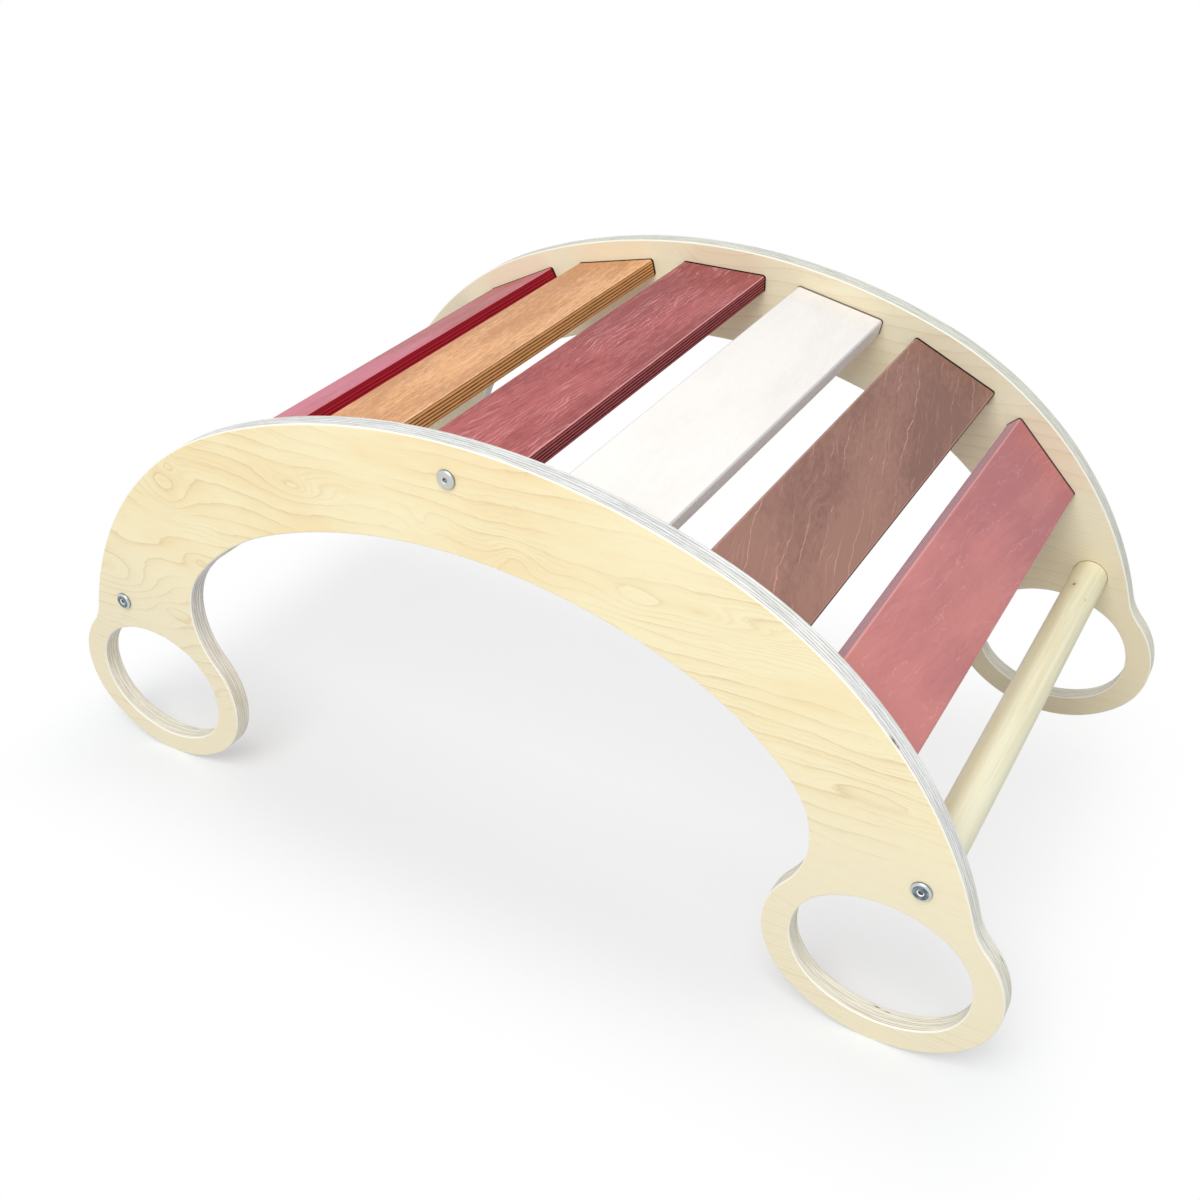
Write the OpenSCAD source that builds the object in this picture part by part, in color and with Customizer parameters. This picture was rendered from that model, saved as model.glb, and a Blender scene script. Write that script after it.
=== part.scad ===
// Wooden rocker arch: two plywood side panels with oval ring feet, joined by
// seven rounded slats, two round rails and six connector bolts.
// Millimetres. X runs along the arch, Y across it, Z up from the floor.
// The origin lies on the floor, in the middle of the arch.

/* [Overall] */
// Length over the outer ends of the ring feet
arch_length = 960; // [860:1:1060]
// Height of the crown above the floor
arch_height = 448; // [420:1:520]
// Width over the outer faces of the two side panels
arch_width = 508; // [380:1:640]

/* [Side panels] */
// Thickness of the plywood of a side panel
panel_thickness = 18; // [15:0.5:24]
// Width of the arched band between its outer and inner edge
band_width = 100; // [88:1:120]
// How far a foot reaches out past the foot of the arched band
foot_overhang = 20; // [12:0.5:30]
// Height above the floor of the centres of the two haunch arcs
haunch_centre_height = 68; // [50:1:84]
// Height of the crown above the tops of the haunch circles
crown_lift = 20; // [14:0.5:30]
// Radius of the hollow where the band's inner edge runs into a foot
neck_radius = 82; // [60:1:110]
// Radius of the hollow where the band's outer edge runs into a foot
heel_radius = 60; // [40:1:90]

/* [Ring feet] */
// Width of the oval foot
foot_width = 200; // [190:1:220]
// Height of the oval foot
foot_height = 170; // [162:1:184]
// Radius of the foot's two side arcs
foot_side_radius = 75; // [66:0.5:79]
// Width of the oval hand hole
grip_width = 150; // [130:1:160]
// Height of the oval hand hole
grip_height = 126; // [119:1:134]
// Radius of the hand hole's two side arcs
grip_side_radius = 58.5; // [48:0.5:59]

/* [Slats] */
// Width of a slat
slat_width = 93; // [80:0.5:106]
// Thickness of a slat
slat_thickness = 18; // [15:0.5:22]
// Radius of a slat's four long edges
slat_edge_radius = 3; // [1:0.5:6]
// Distance between slats, measured along the outer edge of the band
slat_pitch = 134; // [122:1:146]
// Depth of a slat's top face below the outer edge of the band
slat_inset = 22; // [14:0.5:32]
// Gap between a slat and the sides of its pocket
slat_clearance = 0.4; // [0.2:0.1:1]

/* [Rails] */
// Diameter of a round rail
rail_diameter = 34; // [25:1:38]
// Distance of a rail's axis from the outer end of the foot below it
rail_setback = 73; // [66:1:84]
// Height of a rail's axis above the top of the oval foot
rail_rise = 6; // [2:1:16]
// Gap between a rail and the wall of its pocket
rail_clearance = 0.3; // [0.1:0.1:1]
// Depth of the pockets that hold the slats and the rails
pocket_depth = 6; // [3:0.5:9]

/* [Fasteners] */
// Nominal diameter of the bolts
bolt_diameter = 6; // [5:0.5:8]
// Length of a bolt below its head
bolt_length = 30; // [26:1:40]
// Gap between a bolt and the hole in the panel
bolt_clearance = 0.4; // [0.2:0.1:1]
// Diameter of the flat bolt head
head_diameter = 17; // [15:0.5:20]
// Height of the bolt head
head_height = 3; // [2.5:0.1:4]
// Width of the sloped rim round the bolt head
head_rim = 2; // [1:0.1:3]
// Width across flats of the hexagon socket
socket_width = 4; // [3:0.5:5]
// Depth of the hexagon socket
socket_depth = 2; // [1.5:0.1:2.3]
// Outer diameter of a threaded insert
insert_diameter = 10; // [9:0.5:12]
// Length of a threaded insert
insert_length = 15; // [12:0.5:18]
// Gap between a bolt and an insert, and between an insert and its wood
insert_clearance = 0.05; // [0.02:0.01:0.1]

/* [Hidden] */
$fn = 96;

// Longest straight facet along the curved edges of a side panel
edge_facet = 5;
// Length that a cutting tool reaches past the face it cuts
cut_past = 1;
// Slats from the middle one to the outermost one, on each side
slats_per_side = 3;

birch_colour = [0.94, 0.88, 0.72];
rail_colour = [0.90, 0.82, 0.62];
steel_colour = [0.75, 0.77, 0.78];
insert_colour = [0.83, 0.71, 0.42];
slat_colours = [
    [0.42, 0.20, 0.36], [0.62, 0.04, 0.13], [0.78, 0.56, 0.34], [0.53, 0.20, 0.24],
    [0.93, 0.90, 0.89], [0.47, 0.33, 0.29], [0.72, 0.40, 0.41]
];

// The outer edge is a three-centred arch. Two haunch arcs stand over the feet, and
// the crown arc touches both of them on the inside and passes through the crown.
haunch_radius = arch_height - haunch_centre_height - crown_lift;
haunch_centre = [arch_length / 2 - foot_overhang - haunch_radius, haunch_centre_height];
crown_reach = arch_height - haunch_centre_height;
crown_radius = (pow(haunch_centre[0], 2) + pow(crown_reach, 2) - pow(haunch_radius, 2))
    / (2 * crown_lift);
crown_centre = [0, arch_height - crown_radius];
// Half of the angle that the crown arc spans
crown_half_angle = atan2(haunch_centre[0], haunch_centre[1] - crown_centre[1]);

// Each foot is a four-centred oval
foot_centre = [arch_length / 2 - foot_width / 2, foot_height / 2];
foot_side_offset = [foot_width / 2 - foot_side_radius, 0];
heel_side_centre = foot_centre + foot_side_offset;
neck_side_centre = foot_centre - foot_side_offset;

// Circles that blend the band into the foot, each touching a haunch arc and a side arc
heel_centre = circles_meet(heel_side_centre, foot_side_radius + heel_radius,
    haunch_centre, haunch_radius + heel_radius);
neck_centre = circles_meet(neck_side_centre, foot_side_radius + neck_radius,
    haunch_centre, haunch_radius - band_width - neck_radius);

inner_gap = arch_width - 2 * panel_thickness;
member_length = inner_gap + 2 * pocket_depth;
member_end = member_length / 2;
outer_face = arch_width / 2;
panel_web = panel_thickness - pocket_depth;

rail_position = [arch_length / 2 - rail_setback, foot_height + rail_rise];
top_bolt_position = [0, arch_height - slat_inset - slat_thickness / 2];
insert_bore_depth = max(insert_length, bolt_length - panel_web) + 2;

// ---- plane geometry -------------------------------------------------------------

function point_on(centre, radius, angle) = centre + radius * [cos(angle), sin(angle)];

function direction(from, to) = atan2(to[1] - from[1], to[0] - from[0]);

// The crossing of two circles that lies to the right of the way from the first
// centre to the second
function circles_meet(centre_1, radius_1, centre_2, radius_2) =
    let (gap = norm(centre_2 - centre_1))
    let (along = (pow(radius_1, 2) - pow(radius_2, 2) + pow(gap, 2)) / (2 * gap))
    let (aside = sqrt(pow(radius_1, 2) - pow(along, 2)))
    let (unit = (centre_2 - centre_1) / gap)
    centre_1 + along * unit + aside * [unit[1], -unit[0]];

// Points along an arc, without its first point
function arc(centre, radius, from, to) =
    let (steps = max(2, ceil(abs(to - from) * PI / 180 * radius / edge_facet)))
    [for (i = [1:steps]) point_on(centre, radius, from + (to - from) * i / steps)];

// Centre height of the flat arcs of a four-centred oval, above its middle
function oval_rise(half_width, half_height, side_radius) =
    let (side = half_width - side_radius)
    let (top = half_height - side_radius)
    (side * side - top * top) / (2 * top);

// Angle below the horizontal at which a side arc meets the flat arc
function oval_corner(half_width, half_height, side_radius) =
    atan2(oval_rise(half_width, half_height, side_radius), half_width - side_radius);

// Outline of a four-centred oval
function oval(width, height, side_radius) =
    let (rise = oval_rise(width / 2, height / 2, side_radius))
    let (corner = oval_corner(width / 2, height / 2, side_radius))
    let (side = [width / 2 - side_radius, 0])
    concat(
        arc(side, side_radius, corner, -corner),
        arc([0, rise], height / 2 + rise, -corner, corner - 180),
        arc(-side, side_radius, corner - 180, -corner - 180),
        arc([0, -rise], height / 2 + rise, 180 - corner, corner)
    );

// Right half of the outline, from the crown round the foot to the middle of the void
function panel_half_outline() =
    let (spring = 90 - crown_half_angle)
    let (heel_start = direction(haunch_centre, heel_centre))
    let (heel_end = direction(heel_side_centre, heel_centre))
    let (rise = oval_rise(foot_width / 2, foot_height / 2, foot_side_radius))
    let (corner = oval_corner(foot_width / 2, foot_height / 2, foot_side_radius))
    let (neck_start = direction(neck_side_centre, neck_centre))
    let (neck_end = direction(haunch_centre, neck_centre))
    concat(
        arc(crown_centre, crown_radius, 90, spring),
        arc(haunch_centre, haunch_radius, spring, heel_start),
        arc(heel_centre, heel_radius, heel_start + 180, heel_end + 180),
        arc(heel_side_centre, foot_side_radius, heel_end, -corner),
        arc(foot_centre + [0, rise], foot_height / 2 + rise, -corner, corner - 180),
        arc(neck_side_centre, foot_side_radius, corner - 180, neck_start - 360),
        arc(neck_centre, neck_radius, neck_start - 180, neck_end),
        arc(haunch_centre, haunch_radius - band_width, neck_end, spring),
        arc(crown_centre, crown_radius - band_width, spring, 90)
    );

function mirrored(points) =
    [for (i = [len(points) - 2:-1:0]) [-points[i][0], points[i][1]]];

// Angle from the vertical, at a distance along the outer edge from the crown
function edge_angle(distance) =
    let (crown_arc = crown_radius * crown_half_angle * PI / 180)
    distance <= crown_arc
        ? distance / crown_radius * 180 / PI
        : crown_half_angle + (distance - crown_arc) / haunch_radius * 180 / PI;

// Middle of a slat's thickness; steps counts slats from the middle one
function slat_position(steps) =
    let (angle = edge_angle(abs(steps) * slat_pitch))
    let (on_crown = angle <= crown_half_angle)
    let (centre = on_crown ? crown_centre : haunch_centre)
    let (radius = (on_crown ? crown_radius : haunch_radius) - slat_inset - slat_thickness / 2)
    let (middle = point_on(centre, radius, 90 - angle))
    [sign(steps) * middle[0], middle[1]];

function slat_angle(steps) = sign(steps) * edge_angle(abs(steps) * slat_pitch);

// ---- shared shapes --------------------------------------------------------------

module rounded_rectangle(width, height, radius) {
    square([width - 2 * radius, height], center = true);
    square([width, height - 2 * radius], center = true);
    for (x = [-1, 1], y = [-1, 1])
        translate([x * (width / 2 - radius), y * (height / 2 - radius)])
            circle(r = radius);
}

// Stands a profile up and runs it along Y between two distances
module run_across(from, to) {
    translate([0, to, 0])
        rotate([90, 0, 0])
            linear_extrude(height = to - from)
                children();
}

module slat_profile(margin) {
    rounded_rectangle(slat_width + 2 * margin, slat_thickness + 2 * margin,
        slat_edge_radius + margin);
}

module place_slat_profile(steps, margin) {
    translate(slat_position(steps))
        rotate(-slat_angle(steps))
            slat_profile(margin);
}

// ---- side panels ----------------------------------------------------------------

module panel_outline() {
    half = panel_half_outline();
    difference() {
        polygon(concat(half, mirrored(half), [[0, arch_height]]));
        for (side = [-1, 1])
            translate([side * foot_centre[0], foot_centre[1]])
                polygon(oval(grip_width, grip_height, grip_side_radius));
    }
}

// Pockets for the slats and rails, open towards the inner face
module member_pockets() {
    run_across(inner_gap / 2 - cut_past, member_end) {
        for (steps = [-slats_per_side:slats_per_side])
            place_slat_profile(steps, slat_clearance);
        for (side = [-1, 1])
            translate([side * rail_position[0], rail_position[1]])
                circle(d = rail_diameter + 2 * rail_clearance);
    }
}

module bolt_hole(position) {
    run_across(inner_gap / 2, outer_face + cut_past)
        translate(position)
            circle(d = bolt_diameter + 2 * bolt_clearance);
}

// The panel on the +Y side
module side_panel() {
    color(birch_colour)
        difference() {
            run_across(inner_gap / 2, outer_face) panel_outline();
            member_pockets();
            for (side = [-1, 1])
                bolt_hole([side * rail_position[0], rail_position[1]]);
            bolt_hole(top_bolt_position);
        }
}

module side_panel_back() {
    side_panel();
}

module side_panel_front() {
    mirror([0, 1, 0]) side_panel();
}

// ---- slats and rails ------------------------------------------------------------

// Bores for the threaded inserts, one in each end of a member
module insert_bores() {
    for (side = [-1, 1])
        rotate([side * 90, 0, 0])
            translate([0, 0, member_end - insert_bore_depth])
                cylinder(d = insert_diameter + 2 * insert_clearance,
                    h = insert_bore_depth + cut_past);
}

// Only the middle slat is bolted; the others are clamped in their pockets
module slat(steps) {
    color(slat_colours[steps + slats_per_side])
        difference() {
            run_across(-member_end, member_end) place_slat_profile(steps, 0);
            if (steps == 0)
                translate([top_bolt_position[0], 0, top_bolt_position[1]])
                    insert_bores();
        }
}

module rail(side) {
    color(rail_colour)
        translate([side * rail_position[0], 0, rail_position[1]])
            difference() {
                rotate([90, 0, 0])
                    cylinder(d = rail_diameter, h = member_length, center = true);
                insert_bores();
            }
}

// ---- fasteners ------------------------------------------------------------------

// Places a fastener, drawn along Z outwards from the panel's outer face, on one of
// the six bolt axes. end is -1 at the front and 1 at the back.
module at_bolt(end, position) {
    translate([position[0], end * outer_face, position[1]])
        rotate([-end * 90, 0, 0])
            children();
}

// Flat-headed connector bolt with a sloped rim and a hexagon socket
module bolt(end, position) {
    rim_height = head_height - head_rim / 2;
    color(steel_colour)
        at_bolt(end, position)
            difference() {
                union() {
                    translate([0, 0, -bolt_length])
                        cylinder(d = bolt_diameter, h = bolt_length + head_height / 2);
                    cylinder(d = head_diameter, h = head_height - rim_height);
                    translate([0, 0, head_height - rim_height])
                        cylinder(d1 = head_diameter, d2 = head_diameter - 2 * head_rim,
                            h = rim_height);
                }
                translate([0, 0, head_height - socket_depth])
                    cylinder(d = socket_width / cos(30), h = socket_depth + cut_past, $fn = 6);
            }
}

// Threaded insert, flush with the end of the member it is screwed into
module insert(end, position) {
    color(insert_colour)
        at_bolt(end, position)
            translate([0, 0, -panel_web - insert_length])
                difference() {
                    cylinder(d = insert_diameter, h = insert_length);
                    translate([0, 0, -cut_past])
                        cylinder(d = bolt_diameter + 2 * insert_clearance,
                            h = insert_length + 2 * cut_past);
                }
}

left_bolt_position = [-rail_position[0], rail_position[1]];

side_panel_front();
side_panel_back();
slat(-3);  // slat_1
slat(-2);  // slat_2
slat(-1);  // slat_3
slat(0);  // slat_4
slat(1);  // slat_5
slat(2);  // slat_6
slat(3);  // slat_7
rail(-1);  // rail_left
rail(1);  // rail_right
bolt(-1, left_bolt_position);  // bolt_front_left
bolt(-1, top_bolt_position);  // bolt_front_top
bolt(-1, rail_position);  // bolt_front_right
bolt(1, left_bolt_position);  // bolt_back_left
bolt(1, top_bolt_position);  // bolt_back_top
bolt(1, rail_position);  // bolt_back_right
insert(-1, left_bolt_position);  // insert_front_left
insert(-1, top_bolt_position);  // insert_front_top
insert(-1, rail_position);  // insert_front_right
insert(1, left_bolt_position);  // insert_back_left
insert(1, top_bolt_position);  // insert_back_top
insert(1, rail_position);  // insert_back_right
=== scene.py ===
"""The wooden rocker arch, dressed: birch plywood side panels, stained slats, varnished rails and
zinc-plated connector bolts. Metres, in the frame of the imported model."""

import bpy
import numpy as np
from mathutils import Matrix, Vector
from mathutils.geometry import delaunay_2d_cdt


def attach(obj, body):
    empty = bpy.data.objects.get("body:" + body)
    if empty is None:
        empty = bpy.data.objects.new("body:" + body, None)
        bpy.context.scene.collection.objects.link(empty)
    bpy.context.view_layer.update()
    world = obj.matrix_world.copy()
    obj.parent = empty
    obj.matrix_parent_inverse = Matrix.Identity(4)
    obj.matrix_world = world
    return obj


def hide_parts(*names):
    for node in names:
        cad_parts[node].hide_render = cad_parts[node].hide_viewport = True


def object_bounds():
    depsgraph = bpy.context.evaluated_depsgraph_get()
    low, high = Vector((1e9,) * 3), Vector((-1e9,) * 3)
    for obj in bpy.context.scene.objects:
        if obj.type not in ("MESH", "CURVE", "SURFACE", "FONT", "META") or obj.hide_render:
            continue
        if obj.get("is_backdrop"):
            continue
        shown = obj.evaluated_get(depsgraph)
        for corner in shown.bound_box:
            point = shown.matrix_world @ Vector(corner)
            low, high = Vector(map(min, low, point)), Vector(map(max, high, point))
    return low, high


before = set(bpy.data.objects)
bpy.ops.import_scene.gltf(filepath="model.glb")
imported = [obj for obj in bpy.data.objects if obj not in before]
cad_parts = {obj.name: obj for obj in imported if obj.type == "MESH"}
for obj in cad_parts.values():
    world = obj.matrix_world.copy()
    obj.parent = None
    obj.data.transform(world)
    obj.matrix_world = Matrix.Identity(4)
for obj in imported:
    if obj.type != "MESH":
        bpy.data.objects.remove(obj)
cad_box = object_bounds()


def add_object(name, data):
    """Puts a new object into the scene."""
    made = bpy.data.objects.new(name, data)
    bpy.context.scene.collection.objects.link(made)
    return made


# ---- camera ---------------------------------------------------------------------------------
# The photographer stood at the near right corner and looked down on the arch, with the camera
# turned a degree. The shift frames the picture as the photograph does.

PHOTO_WIDTH = 1200
CAMERA_PLACE = (0.6110, -1.0473, 0.9588)
CAMERA_AZIMUTH = 30.373
CAMERA_ELEVATION = 30.497
CAMERA_ROLL = -1.079
FOCAL_PIXELS = 1458.1
OPTICAL_CENTRE = (609.8, 524.1)

camera_data = bpy.data.cameras.new("camera")
camera_data.sensor_width = 36.0
camera_data.lens = camera_data.sensor_width * FOCAL_PIXELS / PHOTO_WIDTH
camera_data.shift_x = (PHOTO_WIDTH / 2 - OPTICAL_CENTRE[0]) / PHOTO_WIDTH
camera_data.shift_y = (OPTICAL_CENTRE[1] - PHOTO_WIDTH / 2) / PHOTO_WIDTH
camera = add_object("camera", camera_data)
camera.matrix_world = (
    Matrix.Translation(CAMERA_PLACE)
    @ Matrix.Rotation(np.radians(CAMERA_AZIMUTH), 4, "Z")
    @ Matrix.Rotation(np.radians(90 - CAMERA_ELEVATION), 4, "X")
    @ Matrix.Rotation(np.radians(CAMERA_ROLL), 4, "Z")
)
bpy.context.scene.camera = camera

# ---- side panels: shape ---------------------------------------------------------------------
# Each side panel is one board of birch plywood, cut on a router. Its outer edge is a three-centred
# arch, its inner edge runs parallel to it, and both blend into an oval ring foot. The arrises are
# rounded over by a small cutter, and the inner face has pockets for the slats and rails.

ARCH_LENGTH = 0.960
ARCH_HEIGHT = 0.448
ARCH_WIDTH = 0.508
PANEL_THICKNESS = 0.018
BAND_WIDTH = 0.100
FOOT_OVERHANG = 0.020
HAUNCH_CENTRE_HEIGHT = 0.068
CROWN_LIFT = 0.020
NECK_RADIUS = 0.082
HEEL_RADIUS = 0.060
FOOT_WIDTH = 0.200
FOOT_HEIGHT = 0.170
FOOT_SIDE_RADIUS = 0.075
GRIP_WIDTH = 0.150
GRIP_HEIGHT = 0.126
GRIP_SIDE_RADIUS = 0.0585
POCKET_DEPTH = 0.006
ARRIS_RADIUS = 0.0016
ARRIS_STEPS = 5
EDGE_FACET = 0.0025
POCKET_FACET = 0.001

SLAT_WIDTH = 0.093
SLAT_THICKNESS = 0.018
SLAT_EDGE_RADIUS = 0.003
SLAT_PITCH = 0.134
SLAT_INSET = 0.022
SLAT_CLEARANCE = 0.0004
RAIL_DIAMETER = 0.034
RAIL_SETBACK = 0.073
RAIL_RISE = 0.006
RAIL_CLEARANCE = 0.0003
BOLT_HOLE_DIAMETER = 0.0068

outer_face = ARCH_WIDTH / 2
inner_gap = ARCH_WIDTH - 2 * PANEL_THICKNESS
member_end = inner_gap / 2 + POCKET_DEPTH

haunch_radius = ARCH_HEIGHT - HAUNCH_CENTRE_HEIGHT - CROWN_LIFT
haunch_centre = np.array([ARCH_LENGTH / 2 - FOOT_OVERHANG - haunch_radius, HAUNCH_CENTRE_HEIGHT])
crown_reach = ARCH_HEIGHT - HAUNCH_CENTRE_HEIGHT
crown_radius = (haunch_centre[0] ** 2 + crown_reach**2 - haunch_radius**2) / (2 * CROWN_LIFT)
crown_centre = np.array([0.0, ARCH_HEIGHT - crown_radius])
crown_half_angle = np.degrees(np.arctan2(haunch_centre[0], haunch_centre[1] - crown_centre[1]))
foot_centre = np.array([ARCH_LENGTH / 2 - FOOT_WIDTH / 2, FOOT_HEIGHT / 2])
rail_place = np.array([ARCH_LENGTH / 2 - RAIL_SETBACK, FOOT_HEIGHT + RAIL_RISE])
top_bolt_place = np.array([0.0, ARCH_HEIGHT - SLAT_INSET - SLAT_THICKNESS / 2])
bolt_places = {"left": rail_place * (-1, 1), "top": top_bolt_place, "right": rail_place}


def arc(centre, radius, start, end, facet=EDGE_FACET):
    """Points centre + radius * (cos t, sin t), t from start to end in degrees, the first left out."""
    steps = max(3, int(np.ceil(abs(np.radians(end - start)) * radius / facet)))
    t = np.radians(np.linspace(start, end, steps + 1)[1:])
    return centre + radius * np.column_stack([np.cos(t), np.sin(t)])


def direction(origin, target):
    """Angle of the line from origin to target, in degrees."""
    return np.degrees(np.arctan2(target[1] - origin[1], target[0] - origin[0]))


def circles_meet(centre_1, radius_1, centre_2, radius_2):
    """The crossing of two circles to the right of the way from the first centre to the second."""
    gap = np.linalg.norm(centre_2 - centre_1)
    along = (radius_1**2 - radius_2**2 + gap**2) / (2 * gap)
    aside = np.sqrt(radius_1**2 - along**2)
    unit = (centre_2 - centre_1) / gap
    return centre_1 + along * unit + aside * np.array([unit[1], -unit[0]])


def oval_arcs(half_width, half_height, side_radius):
    """Centre height of an oval's flat arcs, and the angle at which they meet its side arcs."""
    side = half_width - side_radius
    top = half_height - side_radius
    rise = (side**2 - top**2) / (2 * top)
    return rise, np.degrees(np.arctan2(rise, side))


def oval(centre, width, height, side_radius):
    """Clockwise outline of a four-centred oval."""
    rise, corner = oval_arcs(width / 2, height / 2, side_radius)
    side = np.array([width / 2 - side_radius, 0.0])
    up = np.array([0.0, rise])
    flat_radius = height / 2 + rise
    return np.concatenate([
        arc(centre + side, side_radius, corner, -corner),
        arc(centre + up, flat_radius, -corner, corner - 180),
        arc(centre - side, side_radius, corner - 180, -corner - 180),
        arc(centre - up, flat_radius, 180 - corner, corner),
    ])


def panel_outline():
    """Clockwise outline of a panel: its right half, from the crown round the foot to the middle of
    the void, then the same mirrored."""
    rise, corner = oval_arcs(FOOT_WIDTH / 2, FOOT_HEIGHT / 2, FOOT_SIDE_RADIUS)
    side = np.array([FOOT_WIDTH / 2 - FOOT_SIDE_RADIUS, 0.0])
    heel_side, neck_side = foot_centre + side, foot_centre - side
    inner_radius = haunch_radius - BAND_WIDTH
    heel_centre = circles_meet(heel_side, FOOT_SIDE_RADIUS + HEEL_RADIUS,
                               haunch_centre, haunch_radius + HEEL_RADIUS)
    neck_centre = circles_meet(neck_side, FOOT_SIDE_RADIUS + NECK_RADIUS,
                               haunch_centre, inner_radius - NECK_RADIUS)
    spring = 90 - crown_half_angle
    heel_start = direction(haunch_centre, heel_centre)
    heel_end = direction(heel_side, heel_centre)
    neck_start = direction(neck_side, neck_centre)
    neck_end = direction(haunch_centre, neck_centre)
    flat_radius = FOOT_HEIGHT / 2 + rise
    half = np.concatenate([
        arc(crown_centre, crown_radius, 90, spring),
        arc(haunch_centre, haunch_radius, spring, heel_start),
        arc(heel_centre, HEEL_RADIUS, heel_start + 180, heel_end + 180),
        arc(heel_side, FOOT_SIDE_RADIUS, heel_end, -corner),
        arc(foot_centre + [0, rise], flat_radius, -corner, corner - 180),
        arc(neck_side, FOOT_SIDE_RADIUS, corner - 180, neck_start - 360),
        arc(neck_centre, NECK_RADIUS, neck_start - 180, neck_end),
        arc(haunch_centre, inner_radius, neck_end, spring),
        arc(crown_centre, crown_radius - BAND_WIDTH, spring, 90),
    ])
    return np.concatenate([half, half[-2::-1] * (-1, 1), [[0.0, ARCH_HEIGHT]]])


def edge_angle(distance):
    """Slope of the outer edge, in degrees, at a distance along it from the crown."""
    crown_arc = crown_radius * np.radians(crown_half_angle)
    if distance <= crown_arc:
        return np.degrees(distance / crown_radius)
    return crown_half_angle + np.degrees((distance - crown_arc) / haunch_radius)


def slat_place(steps):
    """Middle of a slat and its slope in degrees; steps counts slats from the middle one."""
    angle = edge_angle(abs(steps) * SLAT_PITCH)
    on_crown = angle <= crown_half_angle
    centre = crown_centre if on_crown else haunch_centre
    radius = (crown_radius if on_crown else haunch_radius) - SLAT_INSET - SLAT_THICKNESS / 2
    middle = centre + radius * np.array([np.sin(np.radians(angle)), np.cos(np.radians(angle))])
    sign = -1 if steps < 0 else 1
    return middle * (sign, 1), sign * angle


def rounded_rectangle(width, height, radius, corner_steps=6):
    """Clockwise outline of a rectangle with quarter-circle corners, round the origin."""
    corners = []
    for x, z, start in ((1, 1, 90), (1, -1, 0), (-1, -1, -90), (-1, 1, -180)):
        centre = np.array([x * (width / 2 - radius), z * (height / 2 - radius)])
        t = np.radians(np.linspace(start, start - 90, corner_steps + 1))
        corners.append(centre + radius * np.column_stack([np.cos(t), np.sin(t)]))
    return np.concatenate(corners)


def turned(points, place, angle):
    """Points turned clockwise by an angle in degrees and moved to a place."""
    c, s = np.cos(np.radians(angle)), np.sin(np.radians(angle))
    return points @ np.array([[c, -s], [s, c]]) + place


def outward(loop):
    """Unit normals of a closed clockwise loop, pointing out of it: the chord between each point's
    neighbours, turned a quarter."""
    chord = np.roll(loop, -1, axis=0) - np.roll(loop, 1, axis=0)
    normal = np.column_stack([-chord[:, 1], chord[:, 0]])
    return normal / np.linalg.norm(normal, axis=1)[:, None]


def lifted(plane, y):
    """Points or directions of the arch's plane, given as (x, z), with y between."""
    return np.column_stack([plane[:, 0], np.full(len(plane), y), plane[:, 1]])


class Solid:
    """Gathers points, faces and corner normals, and makes one closed mesh object of them."""

    def __init__(self):
        self.points, self.faces, self.normals = [], [], []
        self.count = 0

    def add_ring(self, points):
        """Adds a ring of points and returns their numbers."""
        self.points.append(points)
        self.count += len(points)
        return np.arange(self.count - len(points), self.count)

    def add_faces(self, faces, normals):
        """Adds faces of like size, each turned to face the way its corner normals point."""
        points = np.concatenate(self.points)
        corners = points[faces]
        facing = np.cross(corners[:, 1] - corners[:, 0], corners[:, -1] - corners[:, 0])
        wrong = np.einsum("ij,ij->i", facing, normals.sum(axis=1)) < 0
        faces[wrong] = faces[wrong, ::-1]
        normals[wrong] = normals[wrong, ::-1]
        self.faces.extend(faces.tolist())
        self.normals.append(normals.reshape(-1, 3))

    def add_band(self, rings, ring_normals):
        """Joins each ring of points to the next by quads."""
        for (low, high), (low_n, high_n) in zip(zip(rings, rings[1:]), zip(ring_normals, ring_normals[1:])):
            faces = np.column_stack([low, np.roll(low, -1), np.roll(high, -1), high])
            normals = np.stack([low_n, np.roll(low_n, -1, axis=0), np.roll(high_n, -1, axis=0), high_n], axis=1)
            self.add_faces(faces, normals)

    def add_cap(self, rings, flat, normal):
        """Fills the flat face between an outer ring and the rings of its holes with triangles.
        flat has the two plane coordinates of every point."""
        numbers = np.concatenate(rings)
        starts = np.cumsum([0] + [len(r) for r in rings])
        loops = [list(range(b - 1, a - 1, -1)) for a, b in zip(starts, starts[1:])]
        made = delaunay_2d_cdt([Vector(p) for p in flat[numbers]], [], loops, 1, 1e-9)
        triangles = [t for t, inside in zip(made[2], made[5]) if inside == [0]]
        source = np.array([s[0] for s in made[3]])
        faces = numbers[source[np.array(triangles)]]
        self.add_faces(faces, np.broadcast_to(normal, faces.shape + (3,)).copy())

    def make(self, name):
        """Returns the mesh object, with its corner normals set."""
        mesh = bpy.data.meshes.new(name)
        mesh.from_pydata(np.concatenate(self.points).tolist(), [], self.faces)
        mesh.shade_smooth()
        mesh.normals_split_custom_set(np.concatenate(self.normals).tolist())
        return add_object(name, mesh)


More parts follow.
